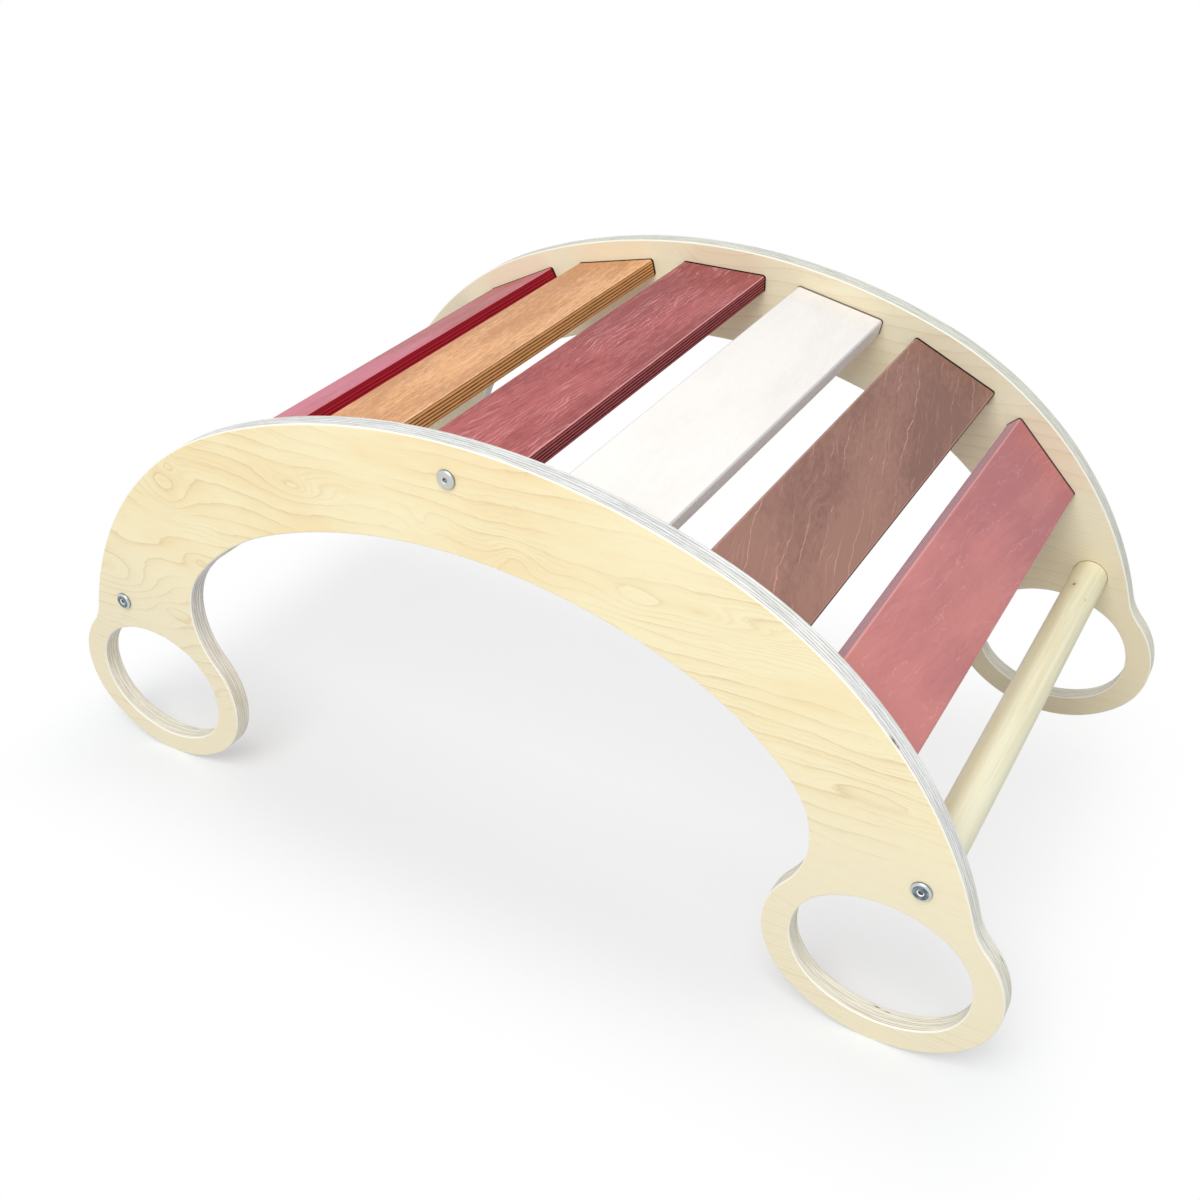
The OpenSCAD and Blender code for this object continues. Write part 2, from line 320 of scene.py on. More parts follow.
def panel_solid(end):
    """One side panel; end is -1 for the front panel and 1 for the back one. A point at a depth
    below the outer face lies at y = end * (outer_face - depth)."""
    solid = Solid()

    def add_ring(plane, depth):
        return solid.add_ring(lifted(plane, end * (outer_face - depth)))

    # Both arrises of an outline are quarter circles: at an angle t from the face, a ring is drawn
    # in by r (1 - sin t) and lies r (1 - cos t) deep.
    def rounded_edge(loop, out):
        rings, normals = [], []
        turns = np.radians(np.linspace(0, 90, ARRIS_STEPS))
        for t, face in [(t, -1) for t in turns] + [(t, 1) for t in turns[::-1]]:
            drawn_in = loop - out * ARRIS_RADIUS * (1 - np.sin(t))
            sunk = ARRIS_RADIUS * (1 - np.cos(t))
            depth = sunk if face < 0 else PANEL_THICKNESS - sunk
            rings.append(add_ring(drawn_in, depth))
            normals.append(lifted(out * np.sin(t), -end * face * np.cos(t)))
        solid.add_band(rings, normals)
        return rings[0], rings[-1]

    def straight_wall(loop, top_depth, bottom_depth):
        rings = [add_ring(loop, top_depth), add_ring(loop, bottom_depth)]
        solid.add_band(rings, [lifted(-outward(loop), 0)] * 2)
        return rings

    outline = panel_outline()
    edges = [rounded_edge(outline, outward(outline))]
    for side in (-1, 1):
        grip = oval(foot_centre * (side, 1), GRIP_WIDTH, GRIP_HEIGHT, GRIP_SIDE_RADIUS)
        edges.append(rounded_edge(grip, -outward(grip)))

    web = PANEL_THICKNESS - POCKET_DEPTH
    profile = rounded_rectangle(SLAT_WIDTH + 2 * SLAT_CLEARANCE, SLAT_THICKNESS + 2 * SLAT_CLEARANCE,
                                SLAT_EDGE_RADIUS + SLAT_CLEARANCE)
    pockets = []
    for steps in range(-3, 4):
        pockets.append((turned(profile, *slat_place(steps)), top_bolt_place if steps == 0 else None))
    for side in (-1, 1):
        place_of_rail = rail_place * (side, 1)
        round_pocket = arc(place_of_rail, RAIL_DIAMETER / 2 + RAIL_CLEARANCE, 360, 0, POCKET_FACET)
        pockets.append((round_pocket, place_of_rail))

    pocket_rims, hole_rims, floors = [], [], []
    for pocket, bolt_place in pockets:
        rim, floor = straight_wall(pocket, PANEL_THICKNESS, web)
        pocket_rims.append(rim)
        holes = []
        if bolt_place is not None:
            bolt_hole = arc(bolt_place, BOLT_HOLE_DIAMETER / 2, 360, 0, POCKET_FACET)
            mouth, bottom = straight_wall(bolt_hole, 0.0, web)
            hole_rims.append(mouth)
            holes.append(bottom)
        floors.append([floor] + holes)

    flat = np.concatenate(solid.points)[:, [0, 2]]
    inward = np.array([0.0, -end, 0.0])
    solid.add_cap([outer for outer, inner in edges] + hole_rims, flat, -inward)
    solid.add_cap([inner for outer, inner in edges] + pocket_rims, flat, inward)
    for rings in floors:
        solid.add_cap(rings, flat, inward)
    return solid


# ---- side panels: material ------------------------------------------------------------------
# Thirteen birch veneers are glued crosswise into an 18 mm board, and the two outer ones are sanded
# thinner. The faces show the growth lines of rotary-cut veneer under a clear matt varnish, and the cut
# edges show the veneers in section.

PLIES = 13
PLY = 0.00152
FACE_DEPTH = 0.00138
FACE_BLUR = 0.0001
PLY_WAVER = 0.35
INNER_FACE_BLUR = 0.001
VARNISH_RELIEF = 0.00004

# Growth lines per metre of height on the left flank and on the rest of a panel
LINES_LEFT = 50.0
LINES_RIGHT = 74.0
BULGE_DEPTH = 0.008
CLEAR_SPOT_SIZE = (0.070, 0.030, 0.075)
CLEAR_SPOT_BOOST = 0.25

# Per face of a panel: cream, warm patches, the painted shade towards the feet, and growth lines. The inner faces
# are duller.
OUTER_FACE = ((0.966, 0.858, 0.568), (0.952, 0.780, 0.470), (0.885, 0.800, 0.600), (0.660, 0.490, 0.290))
INNER_FACE = ((0.850, 0.788, 0.595), (0.820, 0.728, 0.520), (0.785, 0.695, 0.490), (0.590, 0.470, 0.300))
INNER_PAINTED_LIGHT = (0.960, 0.872, 0.650)
ARRIS_PALE_AND_HIGHLIGHT = (0.970, 0.955, 0.880)
FRONT_EDGE = (0.970, 0.965, 0.945)
FRONT_EDGE_TOP = (0.850, 0.855, 0.850)
FRONT_EDGE_RIGHT = (1.000, 1.000, 0.990)
BACK_EDGE = (0.890, 0.885, 0.785)
EDGE_CREAM = (0.940, 0.915, 0.790)
EDGE_END_GRAIN = (0.560, 0.555, 0.530)
EDGE_END_GRAIN_LOW = (0.740, 0.695, 0.570)
EDGE_GLUE = (0.270, 0.250, 0.210)
EDGE_GLUE_LOW = (0.330, 0.250, 0.160)


class Value:
    """A number or a colour that a node gives out. Arithmetic with it adds Math nodes."""

    # numpy's own numbers leave arithmetic with a Value to the Value
    __array_ufunc__ = None

    def __init__(self, nodes, socket):
        self.nodes, self.socket = nodes, socket

    def __add__(self, other):
        return self.nodes.math("ADD", self, other)

    def __sub__(self, other):
        return self.nodes.math("SUBTRACT", self, other)

    def __rsub__(self, other):
        return self.nodes.math("SUBTRACT", other, self)

    def __mul__(self, other):
        return self.nodes.math("MULTIPLY", self, other)

    def __truediv__(self, other):
        return self.nodes.math("DIVIDE", self, other)

    def __pow__(self, other):
        return self.nodes.math("POWER", self, other)

    def __abs__(self):
        return self.nodes.math("ABSOLUTE", self)

    def clamped(self):
        """The same sum or product, kept between 0 and 1."""
        self.socket.node.use_clamp = True
        return self

    def siblings(self):
        """All outputs of the same node, by name."""
        return {output.name: Value(self.nodes, output) for output in self.socket.node.outputs}


class Nodes:
    """Adds nodes to a material or a group. An input takes a plain value or a Value."""

    def __init__(self, tree):
        self.tree = tree

    def add(self, kind, inputs, output=0, **settings):
        """Adds a node and returns one of its outputs. Its inputs are given by name or by number."""
        node = self.tree.nodes.new("ShaderNode" + kind)
        for name, value in settings.items():
            setattr(node, name, value)
        for name, value in inputs.items():
            self.feed(node.inputs[name], value)
        return Value(self, node.outputs[output])

    def feed(self, socket, value):
        if isinstance(value, Value):
            self.tree.links.new(value.socket, socket)
        else:
            socket.default_value = (*value, 1.0) if socket.type == "RGBA" else value

    def math(self, operation, *values):
        return self.add("Math", dict(enumerate(values)), operation=operation)

    def fract(self, value):
        return self.math("FRACT", value)

    def vector(self, operation, *values):
        output = "Value" if operation in ("DOT_PRODUCT", "LENGTH") else "Vector"
        return self.add("VectorMath", dict(enumerate(values)), output, operation=operation)

    def split(self, vector):
        return list(self.add("SeparateXYZ", {0: vector}).siblings().values())

    def join(self, x, y, z):
        return self.add("CombineXYZ", {0: x, 1: y, 2: z})

    def ramp(self, value, low, high, to_low=0.0, to_high=1.0):
        """Goes smoothly from to_low at low to to_high at high, and stays there beyond them."""
        inputs = {0: value, 1: low, 2: high, 3: to_low, 4: to_high}
        return self.add("MapRange", inputs, interpolation_type="SMOOTHSTEP")

    def noise(self, place, scale, detail=2.0, roughness=0.5):
        """Noise from 0 to 1; scale counts its features per metre, along each axis or along all of them."""
        scale = (scale,) * 3 if isinstance(scale, float) else scale
        return self.add("TexNoise", {"Vector": self.vector("MULTIPLY", place, scale), "Scale": 1.0,
                                     "Detail": detail, "Roughness": roughness})

    def mix(self, factor, first, second):
        """A colour between the first one, at factor 0, and the second one, at factor 1."""
        return self.add("Mix", {0: factor, 6: first, 7: second}, 2, data_type="RGBA")

    def use(self, group, **inputs):
        """Places a node group and returns its outputs by name."""
        return self.add("Group", inputs, node_tree=group).siblings()

    def spot(self, place, centre, size):
        """A soft spot's amount, from 0 to 1."""
        return self.use(soft_spot, Place=place, Centre=centre, Size=size)["Amount"]

    def emboss(self, shader, height, distance, strength):
        """Raises a shader's surface by the distance where height is 1."""
        bump = self.add("Bump", {"Strength": strength, "Distance": distance, "Height": height})
        self.feed(shader.inputs["Normal"], bump)


def node_group(name, inputs):
    """Makes a node group of a function. It takes the group's nodes and inputs, and returns outputs by name."""
    def build(function):
        tree = bpy.data.node_groups.new(name, "ShaderNodeTree")
        for socket in inputs.split():
            kind = "NodeSocketVector" if socket in ("Place", "Centre", "Size") else "NodeSocketFloat"
            tree.interface.new_socket(name=socket, in_out="INPUT", socket_type=kind)
        nodes = Nodes(tree)
        given = tree.nodes.new("NodeGroupInput").outputs
        outputs = function(nodes, *(Value(nodes, given[socket]) for socket in inputs.split()))
        for socket in outputs:
            tree.interface.new_socket(name=socket, in_out="OUTPUT", socket_type="NodeSocketFloat")
        result = tree.nodes.new("NodeGroupOutput").inputs
        for socket, value in outputs.items():
            nodes.feed(result[socket], value)
        return tree
    return build


def new_material(name):
    """An empty material: the material, its nodes, its shader and the piece's own coordinates."""
    material = bpy.data.materials.new(name)
    material.use_nodes = True
    nodes = Nodes(material.node_tree)
    return material, nodes, material.node_tree.nodes["Principled BSDF"], nodes.add("TexCoord", {}, "Object")


@node_group("veneer figure", "Place Lines Wander Bulge Boost")
def veneer_figure(nodes, place, lines, wander, bulge, boost):
    """Growth lines are the level lines of a field that rises across the grain (Y) and wanders with slow
    noise along it (X). Each line darkens slowly and ends sharply, and finer lines lie between. The lines
    are clear in some parts and faint in others, and Boost clears them."""
    drift = nodes.noise(place, (3.4, 8.5, 40.0))
    ripple = nodes.noise(place, (17.0, 40.0, 40.0))
    hairs = nodes.noise(place, (60.0, 260.0, 40.0), detail=3.0, roughness=0.7)
    across = nodes.split(place)[1]
    field = across * lines + drift * wander + ripple * 0.7 + bulge + hairs * 0.25
    phase = nodes.fract(field)
    clear = nodes.noise(place, (7.0, 16.0, 40.0)) + boost
    strength = nodes.ramp(clear, 0.40, 0.64, 0.08, 1.0) * nodes.ramp(phase, 1.0, 0.955)
    line = (phase**13.0 * 0.62 + phase**4.0 * 0.22) * strength
    fine_phase = nodes.fract(ripple * 2.0 + field * 3.0)
    fine = fine_phase**3.0 * nodes.ramp(fine_phase, 1.0, 0.85)
    fine_part = nodes.ramp(nodes.noise(place, (5.0, 13.0, 40.0), detail=1.0), 0.48, 0.66, 0.03, 0.40)
    return {
        "Line": (fine * fine_part + line).clamped(),
        "Band": phase**2.5 * strength,
        "Tone": nodes.noise(place, (4.5, 15.0, 40.0), detail=3.0, roughness=0.6),
        "Fibre": nodes.noise(place, (75.0, 900.0, 300.0), detail=3.0, roughness=0.65),
    }


@node_group("ply layers", "Place Depth Starts Ends Soaked")
def ply_layers(nodes, place, depth, starts, ends, soaked):
    """Veneers in section, with Z across them: every second one shows end grain. Face is 1 down to
    FACE_DEPTH below either face, and Arris from the depth Starts to the depth Ends, where the face is
    rounded off. Dark is 1 in end grain, which looks wider the more stain has soaked in, Glue at the thin
    dark lines between, and Speck is the roughness of the sawn fibres."""
    waver = nodes.noise(place, (30.0, 30.0, 60.0), detail=1.0) - 0.5
    below_middle = waver * (PLY * PLY_WAVER) + (depth - PANEL_THICKNESS / 2)
    count = below_middle / PLY + PLIES / 2
    face_starts = PANEL_THICKNESS / 2 - FACE_DEPTH
    from_face = nodes.math("MINIMUM", depth, PANEL_THICKNESS - depth)
    off_centre = abs(nodes.fract(count * 0.5) - 0.75) - soaked
    joint = abs(nodes.fract(count + 0.5) - 0.5)
    patchy = nodes.ramp(nodes.noise(place, (24.0, 24.0, 900.0)), 0.40, 0.60)
    cracks = nodes.ramp(nodes.noise(place, (30.0, 30.0, 1900.0)), 0.60, 0.74)
    return {
        "Face": nodes.ramp(abs(below_middle), face_starts - FACE_BLUR, face_starts + FACE_BLUR),
        "Arris": nodes.ramp(from_face - starts, 0.0, 0.0003) * nodes.ramp(from_face - ends, 0.0, -0.0005),
        "Dark": nodes.ramp(off_centre, 0.25, 0.17),
        "Glue": nodes.math("MAXIMUM", nodes.ramp(joint, 0.26, 0.08) * patchy, cracks),
        "Speck": nodes.noise(place, (120.0, 120.0, 1500.0), detail=3.0, roughness=0.7),
    }


@node_group("soft spot", "Place Centre Size")
def soft_spot(nodes, place, centre, size):
    """exp(-d * d), where d is the distance from the centre counted in sizes: a knot, or a bulge in the
    growth lines."""
    away = nodes.vector("DIVIDE", nodes.vector("SUBTRACT", place, centre), size)
    return {"Amount": nodes.math("EXPONENT", nodes.vector("DOT_PRODUCT", away, away) * -1.0)}


@node_group("wiped varnish", "Place Relief Gloss")
def wiped_varnish(nodes, place, relief, gloss):
    """A wiped-on varnish: its gloss is uneven, and the fibres stand a few hundredths of a millimetre
    proud under it."""
    uneven = nodes.noise(place, 14.0, detail=3.0) * 0.16 + (0.47 - gloss)
    dust = nodes.noise(place, 1500.0, detail=1.0)
    return {"Roughness": (relief * 0.10 + uneven).clamped(), "Height": dust * 0.25 + relief}


def varnish(nodes, shader, place, relief, shine, gloss=0.0, cut=0.0):
    """Connects the varnish's roughness and relief to a shader. Cut edges drink the varnish and stay dull."""
    nodes.feed(shader.inputs["Specular IOR Level"], shine)
    coat = nodes.use(wiped_varnish, Place=place, Relief=relief, Gloss=gloss)
    nodes.feed(shader.inputs["Roughness"], nodes.math("MAXIMUM", coat["Roughness"], cut))
    nodes.emboss(shader, coat["Height"], VARNISH_RELIEF, 0.6)


def birch_ply(name, shift, edge_pale, edge_top, edge_right, clear_spot, bulges, marks):
    """shift slides the figure, so that no two panels are alike. The cut edge takes edge_top at the crown and
    edge_right on the right flank. The growth lines are clear at the place clear_spot. A bulge of the lines is
    (x, z, length, height, lines), a mark is (x, y, z, length, width, height, darkness, colour)."""
    material, nodes, shader, place = new_material(name)
    x, y, z = nodes.split(place)
    depth = outer_face - abs(y)
    flat = nodes.join(x, z, y)
    plies = nodes.use(ply_layers, Place=flat, Depth=depth, Starts=0.00005, Ends=0.0015)
    middle = PANEL_THICKNESS / 2
    is_inner = nodes.ramp(depth, middle - INNER_FACE_BLUR, middle + INNER_FACE_BLUR)
    cream, warm, foot_shade, line = (nodes.mix(is_inner, *pair) for pair in zip(OUTER_FACE, INNER_FACE))

    lines_per_metre = nodes.ramp(x, -0.40, -0.02, LINES_LEFT, LINES_RIGHT)
    bulge = (LINES_RIGHT - lines_per_metre) * 0.33
    for bulge_x, bulge_z, length, height, lines in bulges:
        spot = nodes.spot(place, (bulge_x, -outer_face, bulge_z), (length, BULGE_DEPTH, height))
        bulge = spot * lines + bulge
    grain = nodes.vector("ADD", flat, (shift,) * 3)
    boost = nodes.spot(place, clear_spot, CLEAR_SPOT_SIZE) * CLEAR_SPOT_BOOST
    figure = nodes.use(veneer_figure, Place=grain, Lines=lines_per_metre, Bulge=bulge, Boost=boost,
                       Wander=nodes.ramp(x, -0.10, 0.25, 6.0, 3.4))
    tone = figure["Tone"] + nodes.ramp(x, 0.05, 0.32, 0.08, -0.08) + nodes.ramp(x, -0.40, -0.22, -0.14, 0.0)
    warmth = (figure["Band"] * 0.7 + nodes.ramp(tone, 0.46, 0.72)).clamped()
    face = nodes.mix(warmth, cream, warm)
    # Painted shade: the faces are painted darker towards the feet.
    face = nodes.mix(nodes.ramp(z, 0.30, 0.11, 0.0, 0.9), face, foot_shade)
    # Painted light: the inner face is painted paler towards the left.
    face = nodes.mix(nodes.ramp(x, 0.30, -0.30) * is_inner, face, INNER_PAINTED_LIGHT)
    lines_show = nodes.ramp(is_inner, 0.0, 1.0, 0.80, 0.45) * nodes.ramp(z, 0.17, 0.08, 1.0, 0.55)
    face = nodes.mix(figure["Line"] * lines_show, face, line)
    face = nodes.mix(nodes.ramp(figure["Fibre"], 0.52, 0.75, 0.0, 0.2) * lines_show, face, line)
    # The rounded arris is painted near-white: partly the pale cut face veneer, partly a painted highlight.
    face = nodes.mix(plies["Arris"], face, ARRIS_PALE_AND_HIGHLIGHT)

    low = nodes.ramp(z, 0.24, 0.10)
    right = nodes.ramp(x, 0.26, 0.40)
    dark = plies["Dark"] * nodes.ramp(plies["Speck"], 0.30, 0.65, 0.1, 1.0)
    dark = dark * nodes.ramp(low, 0.0, 1.0, 1.0, 0.6) * nodes.ramp(right, 0.0, 1.0, 1.0, 0.65)
    edge = nodes.mix(nodes.ramp(z, 0.385, 0.430), edge_pale, edge_top)
    edge = nodes.mix(right, edge, edge_right)
    edge = nodes.mix(low, edge, EDGE_CREAM)
    edge = nodes.mix(dark, edge, nodes.mix(low, EDGE_END_GRAIN, EDGE_END_GRAIN_LOW))
    edge = nodes.mix(plies["Glue"] * 0.72, edge, nodes.mix(low, EDGE_GLUE, EDGE_GLUE_LOW))
    colour = nodes.mix(plies["Face"], edge, face)
    for *mark, darkness, mark_colour in marks:
        spot = nodes.spot(place, mark[:3], mark[3:])
        colour = nodes.mix((spot * darkness).clamped(), colour, mark_colour)
    nodes.feed(shader.inputs["Base Color"], colour)
    relief = nodes.mix(plies["Face"], plies["Speck"], figure["Fibre"])
    varnish(nodes, shader, place, relief, 0.40, cut=1.0 - plies["Face"])
    return material


# The figure of the front panel's outer face, as bulges of its growth lines
FRONT_FIGURE = [
    (-0.165, 0.367, 0.034, 0.011, 1.5),
    (0.167, 0.357, 0.025, 0.011, 1.4),
    (-0.320, 0.322, 0.030, 0.026, 2.4),
    (-0.310, 0.350, 0.010, 0.008, -1.2),
    (-0.425, 0.210, 0.060, 0.024, 3.2),
    (-0.340, 0.185, 0.020, 0.008, -1.0),
    (-0.292, 0.255, 0.014, 0.008, -1.1),
    (-0.030, 0.367, 0.013, 0.014, 1.1),
    (0.060, 0.360, 0.018, 0.016, -1.2),
    (0.130, 0.330, 0.050, 0.008, -1.4),
    (0.235, 0.360, 0.050, 0.009, 1.4),
    (0.365, 0.250, 0.040, 0.008, -0.9),
]
# Small faults in the front panel's cut edge: gaps in the plies, a stain and a smear
FRONT_MARKS = [
    (0.3790, -0.2393, 0.0220, 0.0022, 0.0005, 0.0022, 1.0, (0.05, 0.04, 0.03)),
    (0.3882, -0.2405, 0.0224, 0.0026, 0.0004, 0.0026, 0.8, (0.06, 0.05, 0.04)),
    (0.4700, -0.2400, 0.1260, 0.0020, 0.0007, 0.0040, 0.9, (0.12, 0.10, 0.09)),
    (0.3735, -0.2518, 0.3020, 0.0035, 0.0011, 0.0048, 1.0, (0.070, 0.028, 0.018)),
    (0.3772, -0.2516, 0.2978, 0.0014, 0.0010, 0.0020, 0.9, (0.420, 0.120, 0.090)),
    (-0.0170, -0.2464, 0.4478, 0.0060, 0.0010, 0.0030, 0.4, (0.35, 0.36, 0.38)),
]
PANEL_MATERIALS = {
    -1: birch_ply("birch plywood, front", 0.0, FRONT_EDGE, FRONT_EDGE_TOP, FRONT_EDGE_RIGHT,
                  (-0.375, -outer_face, 0.225), FRONT_FIGURE, FRONT_MARKS),
    1: birch_ply("birch plywood, back", 3.7, BACK_EDGE, BACK_EDGE, BACK_EDGE, (0.10, outer_face, 0.36), [], []),
}
for end, side in ((-1, "front"), (1, "back")):
    panel = panel_solid(end).make("panel_" + side)
    panel.data.materials.append(PANEL_MATERIALS[end])
    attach(panel, "root")
    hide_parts("side_panel_" + side)

# ---- slats ----------------------------------------------------------------------------------
# Seven boards of the same plywood, with their long edges rounded over. Each is stained in its own
# colour, which soaks in deeper on the cut edges, and is pressed into pockets in both panels.

# Per slat: the colours of its top, of the top where the stain lies thick, which also serves as painted shade
# towards the back, of its fibres, which also tint the rounded top arris, and of the pale and the end-grain veneers
# in its cut edges. fibres, streaks, shades, mottle and arris say how strongly each shows; the arris's lighter line
# is partly worn and partly a painted highlight. count,
# curl and broken shape the streaks: how many per metre, how bent, and how many pieces per metre. uneven is how much
# lighter the top is painted at the front and darker at the back, as painted light and shade, slant how far the
# grain turns off the slat's length in degrees.
# Below band the cut edge shows its veneers, creep widens the dark ones, and band_dark is the plain band's share
# of the dark colour.
STAINS = {
    "plum": dict(
        top=(0.180, 0.048, 0.135), thick=(0.115, 0.032, 0.090), fibre=(0.34, 0.12, 0.26),
        side_pale=(0.115, 0.018, 0.082), side_dark=(0.010, 0.001, 0.007), creep=0.03,
        fibres=0.35, streaks=0.25, shades=0.2, count=130, curl=1.0, slant=-8),
    "crimson": dict(
        top=(0.640, 0.158, 0.232), thick=(0.440, 0.108, 0.100), fibre=(0.80, 0.33, 0.38),
        side_pale=(0.460, 0.012, 0.030), side_dark=(0.055, 0.002, 0.004), band_dark=0.40, creep=-0.05,
        fibres=0.45, streaks=0.30, shades=0.3, count=170, curl=1.5, uneven=0.35, slant=-6),
    "tan": dict(
        top=(0.870, 0.453, 0.208), thick=(0.610, 0.280, 0.120), fibre=(0.96, 0.66, 0.42),
        side_pale=(0.820, 0.400, 0.150), side_dark=(0.045, 0.012, 0.003), band=0.0, band_dark=0.30, creep=-0.03,
        fibres=0.50, streaks=0.50, shades=0.6, count=210, curl=2.2, broken=16, mottle=0.30, uneven=0.03, slant=4),
    "mahogany": dict(
        top=(0.465, 0.117, 0.115), thick=(0.312, 0.069, 0.069), fibre=(0.78, 0.36, 0.36),
        side_pale=(0.500, 0.112, 0.122), side_dark=(0.018, 0.002, 0.003), band=0.0, band_dark=0.45, creep=0.05,
        fibres=0.50, streaks=0.55, shades=0.6, count=260, curl=1.6, broken=11, uneven=0.03, arris=0.9, slant=-2),
    "white": dict(
        top=(0.975, 0.930, 0.895), thick=(0.905, 0.850, 0.825), fibre=(0.66, 0.66, 0.69),
        side_pale=(0.970, 0.900, 0.880), side_dark=(0.750, 0.690, 0.680), band_dark=0.50,
        fibres=0.10, streaks=0.08, shades=0.1, count=100, curl=0.8, broken=20, mottle=0.10, arris=0.8, slant=4),
    "brown": dict(
        top=(0.358, 0.188, 0.147), thick=(0.252, 0.128, 0.102), fibre=(0.66, 0.36, 0.29),
        side_pale=(0.280, 0.150, 0.120), side_dark=(0.100, 0.045, 0.035),
        fibres=0.22, streaks=0.75, count=72, curl=0.50, broken=6, mottle=0.20, uneven=0.45, arris=0.6, slant=17),
    "rose": dict(
        top=(0.680, 0.255, 0.240), thick=(0.530, 0.190, 0.200), fibre=(0.86, 0.43, 0.40),
        side_pale=(0.700, 0.420, 0.460), side_dark=(0.370, 0.205, 0.235),
        fibres=0.16, streaks=0.50, count=90, curl=2.0, mottle=0.08, uneven=0.40, arris=0.6, slant=-7),
}
# Each slat's figure is cut this much farther along the same veneer, so that no two are alike
SLAT_SHIFT = 2.3
BAND_BLUR = 0.001
# How far from a panel the dark line at the joint, pooled stain and painted shade of the gap, starts and is full
POOLED_STAIN_AND_GAP_SHADE = (0.0030, 0.0022)
BORE_RADIUS = 0.00505
BORE_DEPTH = 0.020
BORED_SLAT_SPACING = 0.002


@node_group("fibre streaks", "Place Count Curl Broken")
def fibre_streaks(nodes, place, count, curl, broken):
    """Where loose fibres took more or less stain. Light and Dark fibres are a noise stretched along the grain
    and bent by a slower one. Streaks are thin level lines of a field that rises Count times per metre across
    the grain; they curl where its noise is as steep as its rise, and break into about Broken pieces per
    metre. Shade is the dark lines midway between them."""
    x, y, z = nodes.split(place)
    bend = nodes.noise(place, (11.0, 24.0, 20.0))
    fibre = nodes.noise(nodes.join(x, bend * 0.035 + y, z), (26.0, 640.0, 60.0), roughness=0.6)
    part = nodes.ramp(nodes.noise(place, (13.0, 34.0, 20.0)), 0.44, 0.60, 0.1, 1.0)
    drifted = nodes.noise(place, (8.0, 20.0, 20.0)) * 0.025 + y
    curls = nodes.noise(place, (60.0, 110.0, 20.0), detail=3.0, roughness=0.6)
    off_line = abs(nodes.fract(curls * curl + drifted * count) - 0.5)
    thin = nodes.ramp(off_line / count, 0.00050, 0.00015)
    between = nodes.ramp((0.5 - off_line) / count, 0.00080, 0.00020)
    pieces = nodes.noise(place, nodes.join(broken, 110.0, 20.0), detail=4.0, roughness=0.7)
    return {
        "Light": nodes.ramp(fibre, 0.57, 0.66) * part,
        "Dark": nodes.ramp(fibre, 0.46, 0.28),
        "Streak": thin * nodes.ramp(pieces, 0.46, 0.60),
        "Shade": between * nodes.ramp(pieces, 0.54, 0.42),
        "Mottle": nodes.noise(place, (90.0, 180.0, 20.0), detail=3.0, roughness=0.65),
    }


def stained_ply(name, steps, top, thick, fibre, side_pale, side_dark, fibres, streaks, count, curl, slant,
                band=0.0048, band_dark=0.55, creep=0.0, shades=0.0, broken=14, mottle=0.25, uneven=0.0, arris=0.5):
    """The slat's own frame has X across it, Y along it and Z out of its top. The stain hides the veneers in a
    plain band below the sanded top edge. Where the slat meets a panel a thin dark line is painted, partly stain
    pooled at the joint and partly painted shade of the gap."""
    material, nodes, shader, place = new_material(name)
    middle, angle = slat_place(steps)
    own = nodes.add("Mapping", {"Vector": place, "Location": (middle[0], 0.0, middle[1]),
                                "Rotation": (0.0, np.radians(angle), 0.0)}, vector_type="TEXTURE")
    x, y, z = nodes.split(own)
    depth = SLAT_THICKNESS / 2 - z
    plies = nodes.use(ply_layers, Place=own, Depth=depth, Starts=0.0002, Ends=0.0013, Soaked=creep)

    veneer = nodes.add("Mapping", {"Vector": nodes.join(y, x, z), "Location": (steps * SLAT_SHIFT, 0.0, 0.0),
                                   "Rotation": (0.0, 0.0, np.radians(slant))}, vector_type="POINT")
    figure = nodes.use(veneer_figure, Place=veneer, Lines=90.0, Wander=7.0)
    grain = nodes.use(fibre_streaks, Place=veneer, Count=count, Curl=curl, Broken=broken)
    soaked = (figure["Line"] * 0.5 + nodes.ramp(figure["Tone"], 0.35, 0.70)).clamped()
    soaked = soaked + grain["Dark"] * (fibres * 1.5) + nodes.ramp(grain["Mottle"], 0.35, 0.65, -mottle, mottle)
    # uneven paints the top lighter at the front and darker at the back: painted light and shade.
    soaked = soaked + nodes.ramp(y, -0.20, 0.23, -uneven, uneven) + grain["Shade"] * shades
    face = nodes.mix(soaked, top, thick)
    # The rounded top arris is painted in the fibre colour: partly worn, partly a painted highlight.
    for lightened, share in ((grain["Light"], fibres), (grain["Streak"], streaks), (plies["Arris"], arris)):
        face = nodes.mix(lightened * share, face, fibre)

    dark = plies["Dark"] * nodes.ramp(plies["Speck"], 0.30, 0.65, 0.65, 1.0)
    side = nodes.mix(dark, side_pale, side_dark)
    side = nodes.mix(plies["Glue"] * 0.25, side, side_dark)
    plain = np.array(side_pale) * (1 - band_dark) + np.array(side_dark) * band_dark
    side = nodes.mix(nodes.ramp(depth, band - BAND_BLUR, band + BAND_BLUR), tuple(plain), side)
    starts, full = (inner_gap / 2 - distance for distance in POOLED_STAIN_AND_GAP_SHADE)
    # A dark line where the slat meets a panel: partly pooled stain, partly painted shade of the gap.
    joint_stain_and_shade = nodes.ramp(abs(y), starts, full, 0.0, 0.97)
    colour = nodes.mix(joint_stain_and_shade, nodes.mix(plies["Face"], side, face), tuple(np.array(side_dark) / 4))
    nodes.feed(shader.inputs["Base Color"], colour)
    cut = nodes.math("MAXIMUM", joint_stain_and_shade, 1.0 - plies["Face"])
    varnish(nodes, shader, own, figure["Fibre"], 0.20, gloss=0.12, cut=cut)
    return material


